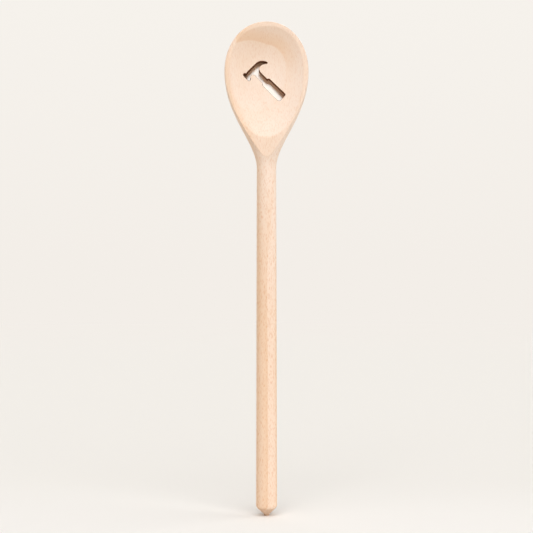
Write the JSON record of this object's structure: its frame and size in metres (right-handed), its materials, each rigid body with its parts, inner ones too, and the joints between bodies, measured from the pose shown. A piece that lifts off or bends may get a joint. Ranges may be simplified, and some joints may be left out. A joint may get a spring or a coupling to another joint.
{
  "type": "cooking spoon",
  "caption": "One-piece beech cooking spoon with a shallow oval bowl, a claw-hammer shape cut through the bowl, a round tapering handle and a turned nub at its end.",
  "frame": {"origin": "middle of the small flat at the end of the handle", "axes": "+Z along the handle towards the bowl, -Y out of the hollow of the bowl, +X to the right when looking into the hollow with the bowl up"},
  "size_m": [0.0512, 0.0135, 0.3],
  "materials": {
    "beech": "fine sanded, unvarnished beech, with the walls of the cut-out scorched brown"
  },
  "bodies": {
    "root": {"spoon": "beech"}
  },
  "joints": []
}
